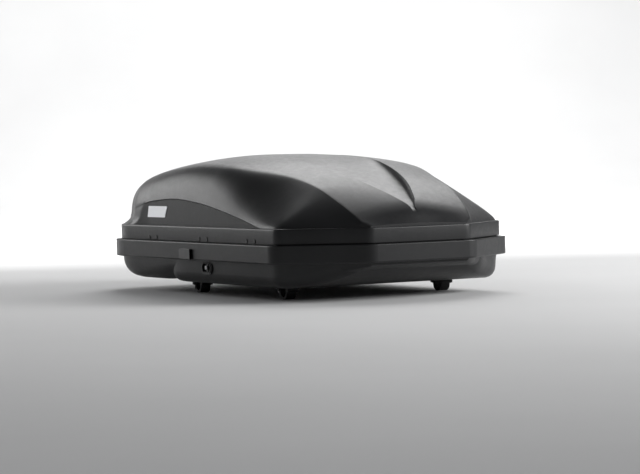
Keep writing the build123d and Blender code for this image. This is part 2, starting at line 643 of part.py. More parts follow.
def link(start, end, y, station):
    """A flat arm with round ends between two pivots, in the XZ plane."""
    plane = Plane((0, station + y[0], 0), x_dir=(1, 0, 0), z_dir=(0, -1, 0))
    reach = Vector(end[0] - start[0], end[1] - start[1])
    middle = ((start[0] + end[0]) / 2, (start[1] + end[1]) / 2)
    with BuildSketch(plane) as outline:
        with Locations(middle):
            angle = math.degrees(math.atan2(reach.Y, reach.X))
            SlotCenterToCenter(reach.length, 2 * ARM_HALF_WIDTH, rotation=angle)
    extrude(outline.sketch, amount=-(y[1] - y[0]))


def pivot(place, y, station, radius, mode=Mode.ADD):
    """A pin or a bore along Y at a pivot."""
    rod((place[0], station + y[0], place[1]), (place[0], station + y[1], place[1]), radius, mode)


for name, station in zip(("front", "rear"), LIFTER_YS):
    with BuildPart() as lower_arm:
        link(LIFTER_BASE, LIFTER_ELBOW, LOWER_Y, station)
        pivot(LIFTER_BASE, (-3, 3), station, PIVOT_RADIUS + 0.06, Mode.SUBTRACT)
        pivot(LIFTER_ELBOW, (-6.4, 1.5), station, PIVOT_RADIUS)
        pivot(LIFTER_ELBOW, (-7.4, -5.3), station, PIVOT_RADIUS + 2)
    save(lower_arm, f"lifter_lower_arm_{name}")
    with BuildPart() as upper_arm:
        link(LIFTER_ELBOW, LIFTER_LID, UPPER_Y, station)
        pivot(LIFTER_ELBOW, (-6, 0), station, PIVOT_RADIUS + 0.06, Mode.SUBTRACT)
        pivot(LIFTER_LID, (-6, 0), station, PIVOT_RADIUS + 0.4, Mode.SUBTRACT)
    save(upper_arm, f"lifter_upper_arm_{name}")

with BuildPart() as lifter_base_brackets:
    for station in LIFTER_YS:
        plane = Plane((0, station + BASE_BRACKET_Y[0], 0), x_dir=(1, 0, 0), z_dir=(0, -1, 0))
        with BuildSketch(plane) as web:
            with BuildLine():
                foot = [(232, BAND_TOP), (268, BAND_TOP)]
                Polyline((206, 120), *foot, (224, 113), (215, 111), close=True)
            make_face()
            with Locations(LIFTER_BASE):
                Circle(9.5)
        extrude(web.sketch, amount=-ARM_THICKNESS)
        block((236, 266), (station + BASE_BRACKET_Y[0], station + 20), (BAND_TOP - 3, BAND_TOP))
        pivot(LIFTER_BASE, (-3.6, 18), station, PIVOT_RADIUS)
        pivot(LIFTER_BASE, (-3.6, -1.9), station, PIVOT_RADIUS + 2)
save(lifter_base_brackets, "lifter_base_brackets")

with BuildPart() as lifter_springs:
    for station in LIFTER_YS:
        centre = (LIFTER_BASE[0], station + 6.4, LIFTER_BASE[1])
        coil = Helix(4, 11.2, 7, center=centre, direction=(0, 1, 0))
        with BuildSketch(Plane(coil @ 0, z_dir=coil % 0)) as wire:
            Circle(1.2)
        sweep(wire.sketch, path=coil, is_frenet=True)
save(lifter_springs, "lifter_springs")


def lid_bracket(station):
    """A web and a flange that reach from the lid pivot to the belt's inner face."""
    web_y = (station + LID_BRACKET_Y[0], station + LID_BRACKET_Y[1])
    with BuildPart() as bracket:
        block((LIFTER_LID[0] - 9, LIFTER_LID[0] + 70), web_y, (198, 214))
        block((LIFTER_LID[0], LIFTER_LID[0] + 70), (web_y[0] - 16, web_y[1]), (210, 214))
        add(lid_inside, mode=Mode.INTERSECT)
    return bracket.part


with BuildPart() as lifter_lid_brackets:
    for station in LIFTER_YS:
        add(lid_bracket(station))
        pivot(LIFTER_LID, (-8.3, -1.5), station, PIVOT_RADIUS)
        pivot(LIFTER_LID, (-1.7, 0), station, PIVOT_RADIUS + 2)
save(lifter_lid_brackets, "lifter_lid_brackets")

# ------------------------------------------------------------------------------
# Clamps: a carriage on the rail, a saddle under the floor, two claws around the
# bar, and a knob on a spindle
# ------------------------------------------------------------------------------
CLAW_OUTER = BAR_Z
CLAW_BORE = BAR_RADIUS + 0.1
CLAW_HALF_WIDTH = 16.5
CLAW_PIVOT = (26, 30.5)
CLAW_PIN_RADIUS = 3
SADDLE_Z = (BAR_Z + BAR_RADIUS + 0.2, DEEP_FLOOR - 0.2)
CARRIAGE_Z = (RAIL_TOP + 0.3, 62)
KNOB_Z = (62.4, 90)

for name, (cx, cy, back, forth) in CLAMPS.items():
    with BuildPart() as carriage:
        block((cx - 22, cx + 22), (cy - 35, cy + 35), (CARRIAGE_Z[0], 54))
        fillet(carriage.edges().filter_by(Axis.Z), 8)
        rod((cx, cy, 54), (cx, cy, CARRIAGE_Z[1]), 15)
        fillet(carriage.faces().sort_by(Axis.Z)[-1].edges(), 2)
        rod((cx, cy, 46), (cx, cy, 63), 5.06, Mode.SUBTRACT)
    save(carriage, f"clamp_carriage_{name}")

    with BuildPart() as saddle:
        block((cx - 20, cx + 20), (cy - 32, cy + 32), SADDLE_Z)
        neck_top = CARRIAGE_Z[0]
        block((cx - 6, cx + 6), (cy - 15, cy + 15), (SADDLE_Z[0], neck_top))
        rod((cx, cy, 41.5), (cx, cy, neck_top + 1), 5.06, Mode.SUBTRACT)
        for end in (-1, 1):
            pin_y = cy + end * CLAW_PIVOT[0]
            for x in (cx - 20, cx + 17):
                block((x, x + 3), (pin_y - 6, pin_y + 6), (25, SADDLE_Z[0]))
            rod((cx - 20, pin_y, CLAW_PIVOT[1]), (cx + 20, pin_y, CLAW_PIVOT[1]), CLAW_PIN_RADIUS)
    save(saddle, f"clamp_saddle_{name}")

    for end, place in ((-1, "front"), (1, "rear")):
        with BuildPart() as claw:
            plane = Plane((cx - CLAW_HALF_WIDTH, cy, 0), x_dir=(0, 1, 0), z_dir=(1, 0, 0))
            with BuildSketch(plane) as profile:
                with Locations((0, BAR_Z)):
                    Circle(CLAW_OUTER)
                with BuildLine():
                    Polyline(
                        (end * 1.5, -1),
                        (end * 40, -1),
                        (end * 40, BAR_Z + 8),
                        (end * 1.5, BAR_Z + 8),
                        close=True,
                    )
                make_face(mode=Mode.INTERSECT)
                with Locations((end * CLAW_PIVOT[0], CLAW_PIVOT[1])):
                    Circle(7)
                with Locations((0, BAR_Z)):
                    Circle(CLAW_BORE, mode=Mode.SUBTRACT)
                with Locations((end * CLAW_PIVOT[0], CLAW_PIVOT[1])):
                    Circle(CLAW_PIN_RADIUS + 0.06, mode=Mode.SUBTRACT)
            extrude(profile.sketch, amount=2 * CLAW_HALF_WIDTH)
        save(claw, f"clamp_claw_{name}_{place}")

    with BuildPart() as knob:
        rod((cx, cy, KNOB_Z[0]), (cx, cy, KNOB_Z[1]), 25)
        for step in range(6):
            angle = math.radians(60 * step + 30)
            x, y = cx + 29 * math.cos(angle), cy + 29 * math.sin(angle)
            rod((x, y, KNOB_Z[0] - 1), (x, y, KNOB_Z[1] + 1), 9, Mode.SUBTRACT)
        chamfer(knob.faces().sort_by(Axis.Z)[-1].edges(), 2)
        rod((cx, cy, KNOB_Z[0] - 1), (cx, cy, KNOB_Z[1] - 8), 4.9, Mode.SUBTRACT)
    save(knob, f"clamp_knob_{name}")

    with BuildPart() as spindle:
        rod((cx, cy, 42), (cx, cy, KNOB_Z[1] - 8), 4.9)
    save(spindle, f"clamp_spindle_{name}")

# ------------------------------------------------------------------------------
# Load straps across the tray floor
# ------------------------------------------------------------------------------
STRAP_HALF_WIDTH = 12.5
STRAP_THICKNESS = 1.6
STRAPS = {"strap_front": -160, "strap_rear": 20}
for name, y in STRAPS.items():
    with BuildPart() as strap:
        ends = CLAMP_X - RAIL_HALF_WIDTH - 1
        strap_y = (y - STRAP_HALF_WIDTH, y + STRAP_HALF_WIDTH)
        block((-ends, ends), strap_y, (FLOOR_TOP, FLOOR_TOP + STRAP_THICKNESS))
    save(strap, name)

with BuildPart() as strap_buckles:
    for y in STRAPS.values():
        low = FLOOR_TOP + STRAP_THICKNESS
        block((90, 135), (y - 18, y + 18), (low, low + 9))
        block((98, 127), (y - 13, y + 13), (low + 3, low + 10), Mode.SUBTRACT)
save(strap_buckles, "strap_buckles")
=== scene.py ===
import json
import math

import bmesh
import bpy
from mathutils import Matrix, Vector


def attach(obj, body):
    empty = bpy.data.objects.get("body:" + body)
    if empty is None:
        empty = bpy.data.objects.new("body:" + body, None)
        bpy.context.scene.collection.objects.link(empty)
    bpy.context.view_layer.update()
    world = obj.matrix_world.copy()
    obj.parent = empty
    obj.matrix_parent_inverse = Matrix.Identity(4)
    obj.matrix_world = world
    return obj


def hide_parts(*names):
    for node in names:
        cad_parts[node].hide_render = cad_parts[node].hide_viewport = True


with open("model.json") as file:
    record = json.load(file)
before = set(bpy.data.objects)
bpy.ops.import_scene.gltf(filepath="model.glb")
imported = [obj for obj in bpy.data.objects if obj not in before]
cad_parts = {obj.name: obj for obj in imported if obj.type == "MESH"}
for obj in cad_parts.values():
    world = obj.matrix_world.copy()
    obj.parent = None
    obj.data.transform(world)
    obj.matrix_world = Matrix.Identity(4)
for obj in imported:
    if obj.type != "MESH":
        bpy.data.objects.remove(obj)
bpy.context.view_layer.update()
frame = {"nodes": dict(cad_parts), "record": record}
MM = 0.001

# ------------------------------------------------------------------------------
# Camera, at the object's front left corner, close to the height of the box
# ------------------------------------------------------------------------------
CAMERA_AZIMUTH = math.radians(30.2)
CAMERA_ELEVATION = math.radians(2.3)
CAMERA_DISTANCE = 8.02
CAMERA_ROLL = math.radians(1.34)
CAMERA_TARGET = Vector((0, 0, 0.1425))


def make_camera():
    data = bpy.data.cameras.new("Camera")
    data.sensor_width = 36
    data.lens = 140.625
    data.shift_x = 0.02266
    data.shift_y = 0.01383
    data.clip_end = 100
    camera = bpy.data.objects.new("Camera", data)
    bpy.context.scene.collection.objects.link(camera)
    level = math.cos(CAMERA_ELEVATION)
    back = Vector((
        -math.sin(CAMERA_AZIMUTH) * level,
        -math.cos(CAMERA_AZIMUTH) * level,
        math.sin(CAMERA_ELEVATION),
    ))
    right = Vector((math.cos(CAMERA_AZIMUTH), -math.sin(CAMERA_AZIMUTH), 0))
    up = back.cross(right)
    c, s = math.cos(CAMERA_ROLL), math.sin(CAMERA_ROLL)
    x_axis, y_axis = right * c - up * s, right * s + up * c
    turn = Matrix((x_axis, y_axis, back)).transposed().to_4x4()
    camera.matrix_world = Matrix.Translation(CAMERA_TARGET + back * CAMERA_DISTANCE) @ turn
    bpy.context.scene.camera = camera


make_camera()

# ------------------------------------------------------------------------------
# Driving dimensions, in millimetres, the same as the CAD model's
# ------------------------------------------------------------------------------
LENGTH, WIDTH = 1400, 840
NOSE_HALF, SHOULDER_Y = 181, -528
NOSE_RADIUS, TAIL_RADIUS, SHOULDER_SOFTNESS = 60, 235, 24
SKIN = 4
BELT_BOTTOM, BELT_TOP = 172.5, 219
BELT_INSET, UPPER_INSET = 18, 24
PANEL_DEPTH = 10

CREASE_X = [(-682, 186), (-622, 204), (-523, 223), (-398, 237), (-300, 262), (-200, 290)]
CREASE_X += [(-60, 312), (150, 316), (350, 300), (500, 272), (600, 232), (656, 190), (680, 172)]
CREASE_Z = [(-682, 219), (-622, 263), (-523, 316), (-475, 336), (-398, 358), (-300, 379)]
CREASE_Z += [(-200, 393), (-60, 406), (80, 411), (291, 400), (454, 380), (560, 360)]
CREASE_Z += [(620, 335), (645, 300), (655, 266), (663, 243), (671, 228), (678, 220)]
CROWN_Z = [(-682, 220), (-647, 270), (-603, 302), (-495, 350), (-418, 377), (-317, 403)]
CROWN_Z += [(-222, 421), (-100, 433), (20, 438), (200, 438), (350, 430), (500, 409)]
CROWN_Z += [(580, 390), (625, 360), (645, 322), (655, 280), (663, 248), (671, 230), (678, 220.5)]
SCOOP_X = [(-682, 8), (-650, 8), (-603, 31), (-495, 75), (-418, 95), (-317, 116)]
SCOOP_X += [(-222, 131), (-60, 150), (500, 150), (656, 100)]
SCOOP_DEPTH = [(-655, 0), (-630, 10), (-560, 24), (-450, 30), (-317, 24), (-222, 15)]
SCOOP_DEPTH += [(-60, 4), (60, 0)]
FLANK_FULLNESS = [(-682, 0.1), (-480, 0.14), (-350, 0.24), (-150, 0.6), (200, 0.75), (520, 0.95)]
FLANK_RISE = [(-682, 0.12), (-480, 0.18), (-350, 0.28), (-150, 0.42), (656, 0.5)]
PANEL_TOP = [(-412, 220), (-300, 243), (-150, 272), (0, 294), (158, 305), (300, 298)]
PANEL_TOP += [(400, 284), (500, 262), (600, 236), (650, 220)]
PANEL_FADE = (330, 150)  # where the side panel's step starts to fade, and over what length
CREASE_SOFTNESS = [(-600, 1.5), (-400, 4), (-200, 9), (0, 15), (300, 20), (640, 16), (656, 6)]
CROWN_POWER = [(-680, 1.35), (-600, 1.45), (-500, 1.8), (-400, 1.9)]
TAIL_FLARE = [(340, 0), (440, 10), (520, 32), (680, 30)]
FLARE_HEIGHT = 42


def along(stations, y):
    """Value at y on a smooth curve through (y, value) stations, without overshoot."""
    if y <= stations[0][0]:
        return stations[0][1]
    if y >= stations[-1][0]:
        return stations[-1][1]
    spans = list(zip(stations, stations[1:]))
    slopes = [(b[1] - a[1]) / (b[0] - a[0]) for a, b in spans]

    def slope_at(index):
        before = slopes[max(index - 1, 0)]
        after = slopes[min(index, len(slopes) - 1)]
        return 0 if before * after <= 0 else 2 * before * after / (before + after)

    index = next(i for i, span in enumerate(spans) if y <= span[1][0])
    (y0, v0), (y1, v1) = spans[index]
    run = y1 - y0
    t = (y - y0) / run
    rise = slope_at(index) * t * (1 - t) ** 2 - slope_at(index + 1) * t * t * (1 - t)
    return v0 * (1 + 2 * t) * (1 - t) ** 2 + v1 * t * t * (3 - 2 * t) + run * rise


def rounded_end(y, half, end, radius):
    """Half width at y of a shape whose end corners are rounded."""
    past = max(y - (end - radius), 0)
    return half - radius + math.sqrt(max(radius**2 - past**2, 0))


def half_width(y, inset, setback=0):
    """Half the width of the plan outline at y, drawn in by the inset."""
    side = WIDTH / 2 - inset
    flare = (WIDTH / 2 - NOSE_HALF) / (SHOULDER_Y + LENGTH / 2)
    facet = NOSE_HALF + flare * (y + LENGTH / 2) - inset * math.hypot(1, flare)
    front = (side + facet - math.hypot(side - facet, SHOULDER_SOFTNESS)) / 2
    end = LENGTH / 2 - setback - inset
    return min(front, rounded_end(y, side, end, TAIL_RADIUS - inset))


def smooth(t):
    """Ease from 0 to 1."""
    t = min(max(t, 0), 1)
    return t * t * (3 - 2 * t)


def bezier(points, t):
    """Point on a Bezier curve."""
    points = [Vector(p) for p in points]
    while len(points) > 1:
        points = [a.lerp(b, t) for a, b in zip(points, points[1:])]
    return points[0]


def crown(x, y):
    """Height of the roof between the creases, before the scoop is sunk into it."""
    middle = along(CROWN_Z, y)
    drop = middle - along(CREASE_Z, y)
    return middle - drop * min(abs(x) / along(CREASE_X, y), 1) ** along(CROWN_POWER, y)


# ------------------------------------------------------------------------------
# Mesh helpers
# ------------------------------------------------------------------------------
def make_piece(name, verts, faces, material, body, smooth_angle=35):
    """A mesh piece from millimetre coordinates, riding on a body."""
    mesh = bpy.data.meshes.new(name)
    mesh.from_pydata([[c * MM for c in v] for v in verts], [], faces)
    bm = bmesh.new()
    bm.from_mesh(mesh)
    bmesh.ops.remove_doubles(bm, verts=bm.verts, dist=0.00002)
    bmesh.ops.dissolve_degenerate(bm, edges=bm.edges, dist=0.00001)
    bmesh.ops.recalc_face_normals(bm, faces=bm.faces)
    for face in bm.faces:
        face.smooth = True
    limit = math.radians(smooth_angle)
    for edge in bm.edges:
        if len(edge.link_faces) == 2:
            edge.smooth = edge.calc_face_angle(0) < limit
    bm.to_mesh(mesh)
    bm.free()
    mesh.materials.append(material)
    piece = bpy.data.objects.new(name, mesh)
    bpy.context.scene.collection.objects.link(piece)
    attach(piece, body)
    return piece


def grid_faces(rows, columns, start=0, wrap_columns=False, wrap_rows=False):
    """Quads between the rows of a grid of vertices."""
    faces = []
    for r in range(rows if wrap_rows else rows - 1):
        for c in range(columns if wrap_columns else columns - 1):
            a = start + r * columns + c
            b = start + r * columns + (c + 1) % columns
            n = start + ((r + 1) % rows) * columns
            faces.append((a, b, n + (c + 1) % columns, n + c))
    return faces


# ------------------------------------------------------------------------------
# Plan outline as a closed loop, with the same point count for every inset
# ------------------------------------------------------------------------------
def outline(inset):
    """Right half of the plan outline from the nose to the tail, then the left half back."""
    slope = (WIDTH / 2 - NOSE_HALF) / (SHOULDER_Y + LENGTH / 2)
    turn = math.atan2(1, slope)
    radius = max(NOSE_RADIUS - inset, 3)
    nose, side, tail = -LENGTH / 2 + inset, WIDTH / 2 - inset, LENGTH / 2 - inset
    facet_x = NOSE_HALF - inset * math.hypot(1, slope) + slope * inset
    shoulder_y = nose + (side - facet_x) / slope
    front_tangent = radius * math.tan(turn / 2)
    side_tangent = radius * math.tan((math.pi / 2 - turn) / 2)
    tail_radius = TAIL_RADIUS - inset
    facing = math.degrees(turn) - 90
    arcs = [  # centre, radius, start and stop angles, arc steps, steps of the straight before it
        ((facet_x - front_tangent, nose + radius), radius, -90, facing, 6, 16),
        ((side - radius, shoulder_y + side_tangent), radius, facing, 0, 8, 22),
        ((side - tail_radius, tail - tail_radius), tail_radius, 0, 90, 30, 110),
    ]
    points = [Vector((0, nose))]
    for (cx, cy), r, start, stop, count, run in arcs:
        first = Vector((
            cx + r * math.cos(math.radians(start)), cy + r * math.sin(math.radians(start))
        ))
        last = points[-1]
        points += [last.lerp(first, i / run) for i in range(1, run)]
        for i in range(count + 1):
            angle = math.radians(start + (stop - start) * i / count)
            points.append(Vector((cx + r * math.cos(angle), cy + r * math.sin(angle))))
    last = points[-1]
    points += [last.lerp(Vector((0, tail)), i / 16) for i in range(1, 17)]
    left = [Vector((-p.x, p.y)) for p in reversed(points[1:-1])]
    return points + left


def swept(profile):
    """Vertices and faces of a closed (inset, z) profile swept round the outline."""
    verts = []
    for inset, z in profile:
        verts += [(p.x, p.y, z) for p in outline(inset)]
    columns = len(verts) // len(profile)
    return verts, grid_faces(len(profile), columns, 0, True, True)


def rounded(corner, before, after, radius, count=4):
    """Points that round a profile's corner."""
    corner, before, after = Vector(corner), Vector(before), Vector(after)
    start = corner + (before - corner).normalized() * radius
    end = corner + (after - corner).normalized() * radius
    return [tuple(bezier((start, corner, end), i / count)) for i in range(count + 1)]


def round_profile(corners):
    """A closed profile from (inset, z, radius) corners."""
    points = []
    for i, (inset, z, radius) in enumerate(corners):
        before, after = corners[i - 1][:2], corners[(i + 1) % len(corners)][:2]
        points += rounded((inset, z), before, after, radius) if radius else [(inset, z)]
    return points


# ------------------------------------------------------------------------------
# Materials
# ------------------------------------------------------------------------------
def new_material(name, **values):
    """A principled material with constant values on its own sockets."""
    material = bpy.data.materials.new(name)
    material.use_nodes = True
    shader = material.node_tree.nodes["Principled BSDF"]
    for key, value in values.items():
        shader.inputs[key.replace("_", " ")].default_value = value
    return material, material.node_tree, shader


def link(tree, source, target):
    tree.links.new(source, target)


def node(tree, kind, **values):
    made = tree.nodes.new(kind)
    for key, value in values.items():
        if key in made.inputs:
            made.inputs[key].default_value = value
        else:
            setattr(made, key, value)
    return made


def noise_texture(tree, scale, detail=4, roughness=0.55, stretch=None):
    """A noise in the object's own metres."""
    place = node(tree, "ShaderNodeTexCoord").outputs["Object"]
    if stretch:
        mapping = node(tree, "ShaderNodeMapping")
        mapping.inputs["Scale"].default_value = stretch
        link(tree, place, mapping.inputs["Vector"])
        place = mapping.outputs["Vector"]
    made = node(tree, "ShaderNodeTexNoise", Scale=scale, Detail=detail, Roughness=roughness)
    link(tree, place, made.inputs["Vector"])
    return made


def ramp(tree, source, stops):
    """A colour ramp between (position, colour) stops."""
    made = node(tree, "ShaderNodeValToRGB")
    elements = made.color_ramp.elements
    while len(elements) < len(stops):
        elements.new(0.5)
    for element, (position, colour) in zip(elements, stops):
        element.position = position
        element.color = (*colour, 1)
    link(tree, source, made.inputs["Fac"])
    return made.outputs["Color"]


def map_range(tree, source, low, high, bottom=0.3, top=0.7):
    made = node(tree, "ShaderNodeMapRange")
    made.inputs["From Min"].default_value = bottom
    made.inputs["From Max"].default_value = top
    made.inputs["To Min"].default_value = low
    made.inputs["To Max"].default_value = high
    link(tree, source, made.inputs["Value"])
    return made.outputs["Result"]


def bump(tree, height, shader, strength, distance, after=None):
    made = node(tree, "ShaderNodeBump", Strength=strength, Distance=distance)
    link(tree, height, made.inputs["Height"])
    if after:
        link(tree, after, made.inputs["Normal"])
    link(tree, made.outputs["Normal"], shader.inputs["Normal"])
    return made.outputs["Normal"]


def plastic(name, dark, light, rough, grain, grain_strength, grain_size=0.00025):
    """Moulded plastic: a fine grain, faint waviness, and slow changes of tone."""
    material, tree, shader = new_material(name, IOR=1.5)
    shader.inputs["Specular IOR Level"].default_value = 0.36
    tone = noise_texture(tree, 7, 5, 0.6)
    link(tree, ramp(tree, tone.outputs["Fac"], [(0.3, dark), (0.7, light)]), shader.inputs["Base Color"])
    dust = noise_texture(tree, 60, 6, 0.7)
    link(tree, map_range(tree, dust.outputs["Fac"], rough[0], rough[1]), shader.inputs["Roughness"])
    cells = node(tree, "ShaderNodeTexVoronoi", Scale=grain)
    cells.feature = "SMOOTH_F1"
    cells.inputs["Smoothness"].default_value = 0.6
    link(tree, node(tree, "ShaderNodeTexCoord").outputs["Object"], cells.inputs["Vector"])
    first = bump(tree, cells.outputs["Distance"], shader, grain_strength, grain_size)
    wave = noise_texture(tree, 14, 2, 0.4)
    bump(tree, wave.outputs["Fac"], shader, 0.12, 0.002, first)
    return material


def metal(name, dark, light, rough, stretch=(1, 1, 1), scale=220, metallic=1.0):
    """Metal with fine drawn lines or a mottled finish."""
    material, tree, shader = new_material(name, Metallic=metallic)
    lines = noise_texture(tree, scale, 6, 0.6, stretch)
    link(tree, ramp(tree, lines.outputs["Fac"], [(0.3, dark), (0.7, light)]), shader.inputs["Base Color"])
    link(tree, map_range(tree, lines.outputs["Fac"], rough[0], rough[1]), shader.inputs["Roughness"])
    bump(tree, lines.outputs["Fac"], shader, 0.15, 0.0001)
    return material


def webbing(name):
    """Woven strap: a twill of two crossed waves."""
    material, tree, shader = new_material(name, Roughness=0.85)
    shader.inputs["Sheen Weight"].default_value = 0.25
    place = node(tree, "ShaderNodeTexCoord").outputs["Object"]
    waves = []
    for direction in ("X", "Y"):
        wave = node(tree, "ShaderNodeTexWave", Scale=320, Distortion=0.6)
        wave.bands_direction = direction
        link(tree, place, wave.inputs["Vector"])
        waves.append(wave.outputs["Fac"])
    both = node(tree, "ShaderNodeMath", operation="MULTIPLY")
    link(tree, waves[0], both.inputs[0])
    link(tree, waves[1], both.inputs[1])
    colour = ramp(tree, both.outputs["Value"], [(0.0, (0.008, 0.008, 0.01)), (1.0, (0.04, 0.04, 0.045))])
    link(tree, colour, shader.inputs["Base Color"])
    bump(tree, both.outputs["Value"], shader, 0.5, 0.0006)
    return material


SLOT_MATERIALS = {
    "shell_plastic": plastic(
        "shell_plastic", (0.012, 0.0122, 0.013), (0.017, 0.0173, 0.0184), (0.32, 0.42), 700, 0.35
    ),
    "rim_plastic": plastic(
        "rim_plastic", (0.013, 0.0132, 0.014), (0.018, 0.0183, 0.0194), (0.32, 0.42), 900, 0.2
    ),
    "black_plastic": plastic(
        "black_plastic", (0.007, 0.007, 0.008), (0.012, 0.012, 0.013), (0.35, 0.5), 1100, 0.25
    ),
    "seal_rubber": plastic(
        "seal_rubber", (0.006, 0.006, 0.006), (0.011, 0.011, 0.011), (0.6, 0.75), 1600, 0.2
    ),
    "claw_plastic": plastic(
        "claw_plastic", (0.008, 0.008, 0.009), (0.014, 0.014, 0.015), (0.55, 0.7), 800, 0.3
    ),
    "rail_steel": metal(
        "rail_steel", (0.42, 0.43, 0.45), (0.56, 0.57, 0.59), (0.28, 0.42), (12, 1, 12), 60
    ),
    "spring_steel": metal(
        "spring_steel", (0.2, 0.2, 0.22), (0.34, 0.34, 0.36), (0.3, 0.45)
    ),
    "lock_metal": metal(
        "lock_metal", (0.32, 0.33, 0.35), (0.46, 0.47, 0.48), (0.22, 0.32), (1, 1, 1), 300
    ),
    "badge_metal": metal(
        "badge_metal", (0.7, 0.71, 0.73), (0.82, 0.83, 0.85), (0.3, 0.38), (1, 1, 14), 240
    ),
    "rivet_steel": metal(
        "rivet_steel", (0.003, 0.003, 0.003), (0.006, 0.006, 0.006), (0.4, 0.5), (1, 1, 1), 500, 0.0
    ),
    "strap_web": webbing("strap_web"),
}
slot_of_node = {s["node"]: s["material_slot"] for s in frame["record"]["subparts"]}
for name, thing in frame["nodes"].items():
    thing.data.materials.clear()
    thing.data.materials.append(SLOT_MATERIALS[slot_of_node[name]])

# ------------------------------------------------------------------------------
# Lid: the upper shell by cross-sections along Y, and the belt swept round the outline
# ------------------------------------------------------------------------------
PANEL_ROWS = 14
STEP_ROWS = 5
FLANK_ROWS = 26
ROOF_ROWS = 16
SCOOP_ROWS = 18
SCOOP_WALL = ((0, 0), (0.16, 1), (0.5, 1), (1, 1))  # share of the half width, share of the depth
FLANK_CROWDING = 1.35  # how much the rows crowd towards the crease
ROOF_CROWDING = 1.3
RIM_Z = 214
PANEL_LIP = 5  # height of the cove under the side panel's upper edge


def flank_point(y, t, skin):
    """Point on the flank between the belt (0) and the crease (1)."""
    foot_x = half_width(y, UPPER_INSET + skin)
    shoulder_z = BELT_TOP - skin
    crease_x = min(along(CREASE_X, y), foot_x + skin - 2) - skin
    crease_z = along(CREASE_Z, y) - skin
    rise = crease_z - shoulder_z
    lean = along(TAIL_FLARE, y)
    top_x = max(foot_x - lean, crease_x)
    pull = along(FLANK_FULLNESS, y) * (top_x - crease_x)
    point = bezier(
        (
            (top_x, shoulder_z),
            (top_x + 1, shoulder_z + along(FLANK_RISE, y) * rise),
            (crease_x + pull, crease_z - 0.1 * rise),
            (crease_x, crease_z),
        ),
        t,
    )
    height = min(max((point.y - shoulder_z) / FLARE_HEIGHT, 0), 1)
    return point + Vector(((foot_x - top_x) * (1 - height) ** 2.4, 0))


def softened(points, corner, reach):
    """A line of points with its corner drawn as a curve within the reach."""
    lengths = [0.0]
    for a, b in zip(points, points[1:]):
        lengths.append(lengths[-1] + math.dist(a, b))
    middle = lengths[corner]
    reach = min(reach, middle, lengths[-1] - middle)

    def place(length):
        index = next((i for i, value in enumerate(lengths) if value >= length), len(lengths) - 1)
        index = max(index, 1)
        span = lengths[index] - lengths[index - 1]
        share = (length - lengths[index - 1]) / span if span else 0
        return Vector(points[index - 1]).lerp(Vector(points[index]), share)

    ends = (place(middle - reach), Vector(points[corner]), place(middle + reach))
    result = []
    for point, length in zip(points, lengths):
        offset = (length - middle) / reach if reach > 0 else 2
        result.append(tuple(bezier(ends, (offset + 1) / 2)) if abs(offset) < 1 else point)
    return result


def flank_at_height(y, z, skin):
    """Curve value at which the flank reaches a height."""
    low, high = 0.0, 1.0
    for _ in range(24):
        middle = (low + high) / 2
        if flank_point(y, middle, skin).y < z:
            low = middle
        else:
            high = middle
    return (low + high) / 2


def lid_section(y, skin):
    """Right half of the upper lid's cross-section, from the rim up to the middle."""
    panel_z = along(PANEL_TOP, y) if PANEL_TOP[0][0] < y < PANEL_TOP[-1][0] else BELT_TOP
    panel_z = max(min(panel_z, along(CREASE_Z, y) - 15), BELT_TOP)
    fade = 1 - smooth((y - PANEL_FADE[0]) / PANEL_FADE[1])
    panel_x = half_width(y, UPPER_INSET + PANEL_DEPTH * fade) - skin
    split_z = panel_z + (skin if panel_z > BELT_TOP else -skin)
    split = flank_at_height(y, split_z, skin)
    edge = flank_point(y, split, skin)
    has_panel = panel_z > BELT_TOP + 0.5
    base_z = BELT_TOP - skin
    foot = flank_point(y, 0, skin)
    foot_x = min(panel_x, foot.x) if has_panel else foot.x
    points = [(foot_x, RIM_Z)]
    step = max(edge.x - panel_x, 0)
    cove = min(PANEL_LIP, max(split_z - base_z, 0) / 2) if has_panel else 0
    for i in range(PANEL_ROWS + 1):
        share = i / PANEL_ROWS
        if has_panel:
            z = base_z + (split_z - cove - base_z) * share
            x = min(panel_x, flank_point(y, split * share, skin).x)
        else:
            x, z = flank_point(y, split * share, skin)
        points.append((x, z))
    for i in range(1, STEP_ROWS + 1):
        share = i / STEP_ROWS
        if has_panel:
            lip = smooth(share)
            points.append((min(panel_x, edge.x) + step * lip * lip, split_z - cove * (1 - share) ** 1.5))
        else:
            points.append(tuple(edge))
    for i in range(1, FLANK_ROWS + 1):
        share = 1 - (1 - i / FLANK_ROWS) ** FLANK_CROWDING
        t = split + (1 - split) * share
        points.append(tuple(flank_point(y, t, skin)))
    crease = flank_point(y, 1, skin)
    corner = len(points) - 1
    scoop_x, depth = along(SCOOP_X, y), along(SCOOP_DEPTH, y)
    for i in range(1, ROOF_ROWS + 1):
        x = crease.x + (scoop_x - crease.x) * (i / ROOF_ROWS) ** ROOF_CROWDING
        points.append((x, crown(x, y) - skin))
    points = softened(points, corner, along(CREASE_SOFTNESS, y))
    for i in range(1, SCOOP_ROWS + 1):
        across, sunk = bezier(SCOOP_WALL, i / SCOOP_ROWS)
        x = scoop_x * (1 - across)
        points.append((x, crown(x, y) - depth * sunk - skin))
    return points


def stations(start, spans):
    """Y stations with a spacing for each span."""
    values = [start]
    for end, spacing in spans:
        count = max(round((end - values[-1]) / spacing), 1)
        first = values[-1]
        values += [first + (end - first) * i / count for i in range(1, count + 1)]
    return values


LID_SPANS = [(-640, 3), (-560, 5), (-420, 8), (-395, 4), (400, 10), (460, 6), (480, 3)]
LID_SPANS += [(600, 8), (640, 4), (677, 2)]
LID_YS = stations(-677, LID_SPANS)


